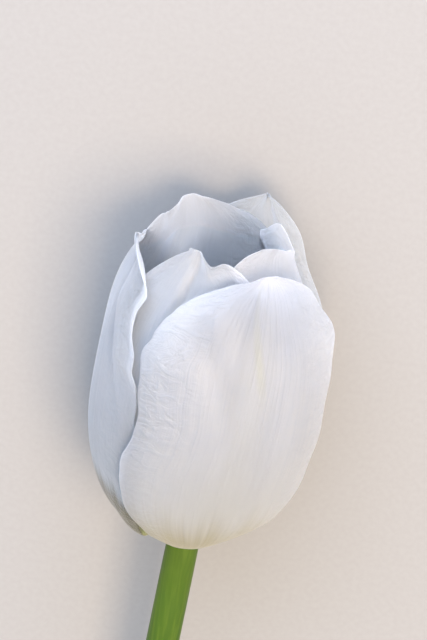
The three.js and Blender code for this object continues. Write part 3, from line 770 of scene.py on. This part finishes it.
def tissue_material(name, colour, dark, grain, roughness):
    """Soft flower tissue, grown: fine grains about as wide as grain, in millimetres, give it a dry look."""
    material, tree = new_material(name)
    body = add_node(tree, "TexCoord").outputs["Object"]
    grains = add_node(tree, "TexNoise", {"Vector": body, "Scale": 1 / (grain * MM), "Detail": 2.0})
    tone = add_node(tree, "MapRange", (grains, 0.4, 0.7))
    mixed = add_node(tree, "Mix", (tone, (*colour, 1), (*dark, 1)), **COLOURS)
    bump = add_node(tree, "Bump", {"Height": grains, "Strength": 0.5, "Distance": 0.1 * MM})
    finish_material(tree, mixed, bump, {
        "Roughness": roughness, "Subsurface Weight": 0.2, "Subsurface Radius": (1.0, 0.9, 0.5),
        "Subsurface Scale": 1.0 * MM,
    })
    return material


def board_material(settings):
    """Painted board, rolled: flat matt paint with the faintest orange peel, about 1 mm wide, so the
    floor stays plain."""
    material, tree = new_material("matt_painted_board")
    body = add_node(tree, "TexCoord").outputs["Object"]
    peel = add_node(tree, "TexNoise", {"Vector": body, "Scale": 1 / (1.111 * MM), "Detail": 1.0})
    tone = add_node(tree, "MapRange", (peel, 0.3, 0.7, 0.0, 0.02))
    colour = add_node(tree, "Mix", (tone, (*settings.floor, 1), (1, 1, 1, 1)), **COLOURS)
    bump = add_node(tree, "Bump", {"Height": peel, "Strength": 0.05, "Distance": 0.2 * MM})
    finish_material(tree, colour, bump, {"Roughness": 0.85})
    return material


def colour_property(name, description, colour):
    """A colour that the user can change, with an sRGB hex value as its default."""
    return FloatVectorProperty(
        name=name, description=description, default=linear(colour), subtype="COLOR", min=0.0, max=1.0,
    )


class TulipPetalSettings(PropertyGroup):
    thickness: FloatProperty(
        name="Thickness", description="Thickness of a petal at its middle", default=0.45 * MM,
        min=0.1 * MM, max=0.7 * MM, unit="LENGTH", subtype="DISTANCE",
    )
    white: colour_property("White", "Petal where the light finds it clean", 0xF5F0E9)
    cool: colour_property("Cool white", "Petal between its warm patches", 0xECEAEC)
    # Grey and dusky are darker copies of the white: painted shade on the petals away from the light
    grey: colour_property("Grey white", "Petals that are a little greyer", 0xC6CDD2)
    shaded_grey_cool: colour_property("Cool grey white", "Greyer petals between their pale patches", 0xBAC4CD)
    shaded_dusky: colour_property("Dusky white", "The greyest petal", 0xB2BBBD)
    dusky_cool: colour_property("Cool dusky white", "The greyest petal between its pale patches", 0xA7B2B7)
    # Inner is a cooler copy of the white: painted shade inside the cup
    inner: colour_property("Inner white", "Petals seen from inside the cup", 0xE9EEF4)
    shaded_inner_cool: colour_property("Cool inner white", "Inner petals between their pale patches", 0xDFE7F1)
    # Tip is painted shade: a darker, cooler top of the front petal
    tip: colour_property("Tip", "Cool top of the front petal", 0xBFC4CE)
    # Rim is a painted highlight: a warm lit band at the top of the inner petals
    rim: colour_property("Rim", "Warm rolled rim of the inner petals", 0xFAF3F0)
    streak: colour_property("Streak", "Ribs, crinkles and soft long streaks", 0xD0D3D9)
    midrib: colour_property("Midrib", "Warm band up the middle of a petal", 0xE3DCC4)
    vein: colour_property("Vein", "Thin yellow vein near the tip", 0xE8E1B0)
    base: colour_property("Base", "Cream lower part of a petal", 0xEADAC0)
    # Painted shade: the greyer petals' grey lower part, and their foot's real olive deepened by it
    painted_shade_base: colour_property("Grey base", "Grey lower part of the greyer petals", 0x98A2A6)
    foot: colour_property("Foot", "Warm foot of a white petal, next to the stem", 0xB09C72)
    olive_foot_and_shade: colour_property("Dark foot", "Olive foot of the greyer petals", 0x4E4826)


class TulipGreenSettings(PropertyGroup):
    stem: colour_property("Stem", "Skin of the stem", 0x33540F)
    stem_top: colour_property("Stem top", "Skin of the stem close under the cup", 0x4A620A)
    stem_fibre: colour_property("Stem fibre", "Fibres under the skin of the stem", 0x80922E)
    fibre: colour_property("Fibre", "Ribs and rims of the leaves", 0x869F62)
    leaf: colour_property("Leaf", "Leaf where its wax is rubbed off", 0x3C6233)
    wax: colour_property("Wax", "Grey-blue wax on leaves and stem", 0x688674)
    pith: colour_property("Pith", "Inside of the cut stem", 0xC6D39A)


class TulipHeartSettings(PropertyGroup):
    anther: colour_property("Anther", "Pollen on the anthers", 0xE0C765)
    anther_dark: colour_property("Anther shade", "Hollows between the pollen grains", 0xB98F2E)
    filament: colour_property("Filament", "Stalks of the stamens and their collar", 0xE4E0B8)
    filament_dark: colour_property("Filament shade", "Darker patches of the stalks", 0xCFCB98)
    ovary: colour_property("Ovary", "Three-sided seed case", 0xB4C47A)
    ovary_dark: colour_property("Ovary shade", "Darker patches of the seed case", 0x93A85A)
    stigma: colour_property("Stigma", "Lobes on top of the seed case", 0xE9E0A8)
    stigma_dark: colour_property("Stigma shade", "Hollows in the velvet of the lobes", 0xD2C37A)


class TulipStageSettings(PropertyGroup):
    floor: colour_property("Floor", "Paint of the floor", 0xA09D98)
    key: FloatProperty(
        name="Key light", description="Power of the soft light on the front", default=10.4, min=0.0,
        unit="POWER",
    )
    key_colour: colour_property("Key colour", "Colour of the soft light on the front", 0xFFE4C2)
    fill: FloatProperty(
        name="Cup light", description="Power of the cool light into the cup", default=9.0, min=0.0,
        unit="POWER",
    )
    fill_colour: colour_property("Cup light colour", "Colour of the light into the cup", 0xCCDCFF)
    sky: FloatProperty(
        name="Surroundings", description="Strength of the even light all round", default=1.22, min=0.0,
    )
    sky_colour: colour_property("Surroundings colour", "Colour of the even light all round", 0xDCE6F8)


class TULIP_OT_petals(Operator):
    """Add the six petals of the cup in place of their solids"""
    bl_idname = "tulip.add_petals"
    bl_label = "Petals"

    def execute(self, context):
        settings = context.scene.tulip_petals
        # The grey, dusky and inner looks are copies of the white with painted shade, and each look's top
        # band is painted light: painted shade on the front and greyer petals, a painted highlight on the
        # inner petals' rims
        warm = dict(base=settings.base, foot=settings.foot, foot_band=(0.57, 0.36))
        dark = dict(
            base=settings.painted_shade_base, foot=settings.olive_foot_and_shade, foot_band=(0.55, 0.45), vein=0.1,
            painted_light_band=(0.8, 1.0),
        )
        looks = {
            "white": dict(warm, pale=settings.white, cool=settings.cool, vein=0.65, tip=settings.tip,
                          painted_light_band=(0.78, 0.97)),
            "grey": dict(dark, pale=settings.grey, cool=settings.shaded_grey_cool, tip=settings.shaded_grey_cool),
            "shaded_dusky": dict(dark, pale=settings.shaded_dusky, cool=settings.dusky_cool, tip=settings.dusky_cool),
            "inner": dict(warm, pale=settings.inner, cool=settings.shaded_inner_cool, vein=0.0, tip=settings.rim,
                          painted_light_band=(0.92, 0.94)),
        }
        satins = {
            tone: petal_material(settings, tone + "_petal_satin", **look) for tone, look in looks.items()
        }
        thickness = settings.thickness / MM
        for name, petal in PETALS.items():
            surface = partial(petal_point, petal, thickness=thickness)
            piece = blade(name + "_skin", surface, PETAL_GRID, thickness, satins[petal["tone"]])
            stand_for(piece, name)
        return {"FINISHED"}


class TULIP_OT_stem(Operator):
    """Add the stem with its cut foot and the neck under the petals"""
    bl_idname = "tulip.add_stem"
    bl_label = "Stem"

    def execute(self, context):
        settings = context.scene.tulip_greens
        length = STEM_LENGTH + NECK_TOP
        bm = bmesh.new()
        bmesh.ops.create_cone(
            bm, cap_ends=True, segments=STEM_SIDES, radius1=STEM_FOOT_RADIUS, radius2=STEM_TOP_RADIUS,
            depth=length,
        )
        for k in range(1, STEM_RINGS):
            bmesh.ops.bisect_plane(
                bm, geom=bm.verts[:] + bm.edges[:] + bm.faces[:], plane_no=(0, 0, 1),
                plane_co=(0, 0, length * (k / STEM_RINGS - 0.5)),
            )
        ends = [face for face in bm.faces if len(face.verts) > 4]
        bmesh.ops.bevel(
            bm, geom=[edge for face in ends for edge in face.edges], offset=STEM_EDGE, offset_type="OFFSET",
            segments=STEM_EDGE_SEGMENTS, profile=0.5, affect="EDGES", material=-1,
        )
        for vert in bm.verts:
            distance = STEM_LENGTH - (vert.co.z + length / 2)
            forward = (stem_point(distance - STEM_STEP) - stem_point(distance + STEM_STEP)).normalized()
            right = forward.cross(Vector((0, 0, 1))).normalized()
            up = right.cross(forward)
            # The skin is a little uneven, as a grown stem is
            uneven = 1.0
            if EVEN_TOP <= distance <= STEM_LENGTH - EVEN_FOOT:
                ridges, share, turn = SKIN_RIDGES
                uneven += share * math.sin(ridges * math.atan2(vert.co.y, vert.co.x) + turn * distance)
                share, turn = SKIN_WAVES
                uneven += share * math.sin(turn * distance)
            place = stem_point(distance) + right * vert.co.x * uneven + up * vert.co.y * uneven
            vert.co = place * MM
        bmesh.ops.recalc_face_normals(bm, faces=bm.faces[:])
        foot = min(bm.faces, key=lambda face: face.calc_center_median().y)
        foot.material_index = 1
        piece = mesh_object("stem_skin", bm, [stem_material(settings), cut_material(settings)])
        stand_for(piece, "stem")
        return {"FINISHED"}


class TULIP_OT_leaves(Operator):
    """Add the two clasping leaves"""
    bl_idname = "tulip.add_leaves"
    bl_label = "Leaves"

    def execute(self, context):
        material = leaf_material(context.scene.tulip_greens)
        for name, leaf in LEAVES.items():
            surface = leaf_surface(leaf, LEAF_THICKNESS)
            piece = blade(name + "_skin", surface, LEAF_GRID, LEAF_THICKNESS, material)
            stand_for(piece, name)
        return {"FINISHED"}


class TULIP_OT_stamens(Operator):
    """Add the six stamens on their collar"""
    bl_idname = "tulip.add_stamens"
    bl_label = "Stamens"

    def execute(self, context):
        settings = context.scene.tulip_heart
        bm = bmesh.new()
        # The collar: a low ring round the ovary
        bmesh.ops.create_circle(bm, segments=RING_SIDES, radius=COLLAR_OUTER)
        edges = bm.edges[:]
        rows = (
            (COLLAR_OUTER, COLLAR_SHOULDER), (COLLAR_OUTER - COLLAR_BEVEL, COLLAR_HEIGHT),
            (COLLAR_INNER, COLLAR_HEIGHT), (COLLAR_INNER, 0.0),
        )
        for radius, height in rows:
            edges, verts = extrude_ring(bm, edges)
            for vert in verts:
                flat = Vector((vert.co.x, vert.co.y)).normalized() * radius
                vert.co = Vector((flat.x, flat.y, height))
        bmesh.ops.bridge_loops(bm, edges=[edge for edge in bm.edges if edge.is_boundary])
        for k in range(STAMENS):
            before = set(bm.verts)
            bmesh.ops.create_cone(
                bm, cap_ends=True, segments=FILAMENT_SIDES, radius1=FILAMENT_FOOT_RADIUS,
                radius2=FILAMENT_TOP_RADIUS, depth=FILAMENT_LENGTH,
                matrix=Matrix.Translation((0, 0, FILAMENT_LENGTH / 2)),
            )
            seat = FILAMENT_LENGTH + ANTHER_LENGTH / 2 - ANTHER_SEAT
            anther = bmesh.ops.create_uvsphere(
                bm, u_segments=ANTHER_MESH[0], v_segments=ANTHER_MESH[1], radius=1.0,
            )["verts"]
            for vert in anther:
                angle = math.atan2(vert.co.x, vert.co.y)
                # Two pollen sacs with a groove between them on each side
                groove = 1 - SAC_GROOVE * bell(math.sin(angle), 0.0, SAC_GROOVE_WIDTH)
                vert.co.x *= ANTHER_RADIUS * groove * (1 - abs(vert.co.z) ** 3 * ANTHER_TAPER)
                vert.co.y *= ANTHER_RADIUS * groove
                vert.co.z = vert.co.z * ANTHER_LENGTH / 2 + seat
            give_second_material(anther)
            # Each stamen leans a little differently
            lean = math.radians(FILAMENT_LEAN + LEAN_CHANGE * math.sin(LEAN_TURN * k))
            place = Matrix.Rotation(math.radians(360 / STAMENS * (k + 0.5)), 4, "Z")
            place @= Matrix.Translation((0, -(COLLAR_INNER + COLLAR_OUTER) / 2, COLLAR_HEIGHT / 4))
            place @= Matrix.Rotation(lean, 4, "X")
            bmesh.ops.transform(bm, matrix=place, verts=[vert for vert in bm.verts if vert not in before])
        stand_on_neck(bm)
        cream = tissue_material("filament_tissue", settings.filament, settings.filament_dark, 0.8, 0.5)
        pollen = tissue_material("anther_pollen", settings.anther, settings.anther_dark, 0.12, 0.85)
        piece = mesh_object("stamens_skin", bm, [cream, pollen])
        stand_for(piece, "stamens")
        return {"FINISHED"}


class TULIP_OT_pistil(Operator):
    """Add the ovary and its three-lobed stigma"""
    bl_idname = "tulip.add_pistil"
    bl_label = "Pistil"

    def execute(self, context):
        settings = context.scene.tulip_heart
        bm = bmesh.new()
        bmesh.ops.create_circle(bm, cap_ends=True, segments=RING_SIDES, radius=OVARY[0][0])
        edges = bm.edges[:]
        for k in range(1, OVARY_RINGS + 1):
            radius, height = catmull(OVARY, k / OVARY_RINGS, False)
            edges, verts = extrude_ring(bm, edges)
            for vert in verts:
                angle = math.atan2(vert.co.x, vert.co.y)
                rise = smooth((height - CORNER_START) / CORNER_RISE)
                corners = 1 + OVARY_CORNERS * math.cos(OVARY_SIDES * angle) * rise
                vert.co = Vector((math.sin(angle), math.cos(angle), 0)) * radius * corners
                vert.co.z = height
        bmesh.ops.holes_fill(bm, edges=edges)
        for k in range(STIGMA_LOBES):
            lobe = bmesh.ops.create_uvsphere(
                bm, u_segments=LOBE_MESH[0], v_segments=LOBE_MESH[1], radius=1.0,
            )["verts"]
            for vert in lobe:
                # Each lobe is folded along its middle, with a frilled edge
                fold = 1 - LOBE_FOLD * bell(vert.co.x, 0.0, LOBE_FOLD_WIDTH) * clamp(vert.co.z)
                frill = 1 + LOBE_FRILL * math.sin(LOBE_FRILLS * math.atan2(vert.co.z, vert.co.y))
                thick, out, tall = LOBE_HALF_SIZE
                vert.co = Vector((thick * vert.co.x, out * vert.co.y * frill, tall * vert.co.z * fold))
            give_second_material(lobe)
            place = Matrix.Rotation(math.radians(360 / STIGMA_LOBES * k), 4, "Z")
            place @= Matrix.Translation((0, -STIGMA_OUT, STIGMA_HEIGHT))
            bmesh.ops.transform(bm, matrix=place, verts=lobe)
        stand_on_neck(bm)
        green = tissue_material("ovary_skin", settings.ovary, settings.ovary_dark, 1.2, 0.45)
        cream = tissue_material("stigma_velvet", settings.stigma, settings.stigma_dark, 0.25, 0.8)
        piece = mesh_object("pistil_skin", bm, [green, cream])
        stand_for(piece, "pistil")
        return {"FINISHED"}


def add_camera(scene):
    """Puts the camera at the photograph's angle, with the stem's top where it is in the photograph."""
    above, roll = math.radians(CAMERA_ABOVE), math.radians(CAMERA_ROLL)
    right = turned(1, 0, 0)
    towards = turned(0, math.sin(above), math.cos(above))
    up = turned(0, math.cos(above), -math.sin(above))
    image_right = right * math.cos(roll) + up * math.sin(roll)
    image_up = up * math.cos(roll) - right * math.sin(roll)
    aim = BASE + image_right * (IMAGE[0] / 2 - STEM_TOP_PIXEL[0]) * PIXEL
    aim = aim + image_up * (STEM_TOP_PIXEL[1] - IMAGE[1] / 2) * PIXEL
    camera = bpy.data.objects.new("camera", bpy.data.cameras.new("camera"))
    scene.collection.objects.link(camera)
    turn = Matrix((image_right, image_up, towards)).transposed().to_4x4()
    camera.matrix_world = Matrix.Translation((aim + towards * CAMERA_DISTANCE) * MM) @ turn
    camera.data.sensor_width = CAMERA_SENSOR
    camera.data.lens = CAMERA_SENSOR * CAMERA_DISTANCE / (IMAGE[1] * PIXEL)
    camera.data.clip_start = CAMERA_NEAR
    scene.camera = camera


def add_light(scene, name, power, colour, size, direction, distance):
    """Adds a square light that shines on the middle of the cup from a direction."""
    light = bpy.data.objects.new(name, bpy.data.lights.new(name, "AREA"))
    scene.collection.objects.link(light)
    light.data.energy = power
    light.data.color = colour
    light.data.size = size
    light.location = placed(0, LIGHTS_AIM, 0) + direction.normalized() * distance
    light.rotation_euler = direction.to_track_quat("Z", "Y").to_euler()


class TULIP_OT_stage(Operator):
    """Add the plain floor, the soft lights and the camera"""
    bl_idname = "tulip.add_stage"
    bl_label = "Stage"

    def execute(self, context):
        scene = context.scene
        settings = scene.tulip_stage
        bm = bmesh.new()
        bmesh.ops.create_grid(bm, x_segments=1, y_segments=1, size=FLOOR_HALF_SIDE)
        floor = mesh_object("floor", bm, [board_material(settings)])

        add_camera(scene)
        turn, rise = math.radians(KEY_TURN), math.radians(KEY_RISE)
        front = turned(math.sin(turn) * math.cos(rise), math.sin(rise), math.cos(turn) * math.cos(rise))
        add_light(scene, "key_light", settings.key, settings.key_colour, KEY_SIZE, front, KEY_DISTANCE)
        add_light(
            scene, "cup_light", settings.fill, settings.fill_colour, CUP_LIGHT_SIZE, turned(*CUP_LIGHT_FROM),
            CUP_LIGHT_DISTANCE,
        )
        world = bpy.data.worlds.new("surroundings")
        world.use_nodes = True
        back = world.node_tree.nodes["Background"]
        back.inputs["Color"].default_value = (*settings.sky_colour, 1)
        back.inputs["Strength"].default_value = settings.sky
        scene.world = world
        scene.view_settings.view_transform = "Standard"
        return {"FINISHED"}


class TULIP_PT_panel(Panel):
    """Lists the flower's pieces and the stage"""
    bl_label = "White tulip"
    bl_idname = "TULIP_PT_panel"
    bl_space_type = "VIEW_3D"
    bl_region_type = "UI"
    bl_category = "Tulip"

    def draw(self, context):
        for name, (_, *operators) in GROUPS.items():
            settings = getattr(context.scene, name)
            box = self.layout.box()
            for key in settings.__annotations__:
                box.prop(settings, key)
            for operator in operators:
                box.operator(operator.bl_idname)


# Each group of settings by its name in the scene, with the operators that read it
GROUPS = {
    "tulip_petals": (TulipPetalSettings, TULIP_OT_petals),
    "tulip_greens": (TulipGreenSettings, TULIP_OT_stem, TULIP_OT_leaves),
    "tulip_heart": (TulipHeartSettings, TULIP_OT_stamens, TULIP_OT_pistil),
    "tulip_stage": (TulipStageSettings, TULIP_OT_stage),
}


def register():
    for name, classes in GROUPS.items():
        for cls in classes:
            bpy.utils.register_class(cls)
        setattr(bpy.types.Scene, name, PointerProperty(type=classes[0]))
    bpy.utils.register_class(TULIP_PT_panel)


def unregister():
    bpy.utils.unregister_class(TULIP_PT_panel)
    for name, classes in GROUPS.items():
        delattr(bpy.types.Scene, name)
        for cls in classes:
            bpy.utils.unregister_class(cls)


def main():
    register()
    bpy.ops.tulip.add_petals()
    bpy.ops.tulip.add_stem()
    bpy.ops.tulip.add_leaves()
    bpy.ops.tulip.add_stamens()
    bpy.ops.tulip.add_pistil()
    bpy.ops.tulip.add_stage()


if __name__ == "__main__":
    main()
